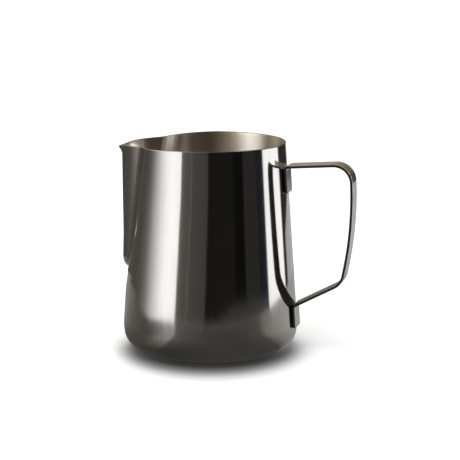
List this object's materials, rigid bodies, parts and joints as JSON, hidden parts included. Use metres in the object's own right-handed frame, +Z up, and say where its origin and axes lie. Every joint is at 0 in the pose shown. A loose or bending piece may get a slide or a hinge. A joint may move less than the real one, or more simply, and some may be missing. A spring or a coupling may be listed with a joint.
{
  "type": "milk frothing pitcher",
  "caption": "Open steel jug for steaming milk: round drawn cup narrowing toward the rim, pressed pouring spout on one side, bent flat strap handle opposite it.",
  "frame": {"origin": "centre of the standing ring under the base, on the cup's axis", "axes": "+Z up along the cup's axis; +X toward the handle, so the spout is on -X; +Y completes the right-handed frame"},
  "size_m": [0.13, 0.094, 0.112],
  "materials": {
    "polished_steel": "polished stainless steel outside, satin brushed inside",
    "strap_steel": "brushed stainless strip with a finely etched grip",
    "weld_steel": "fused spot-weld metal"
  },
  "bodies": {
    "root": {"cup_body": "polished_steel", "handle_strap": "strap_steel", "upper_spot_welds": "weld_steel", "lower_spot_welds": "weld_steel"}
  },
  "joints": []
}
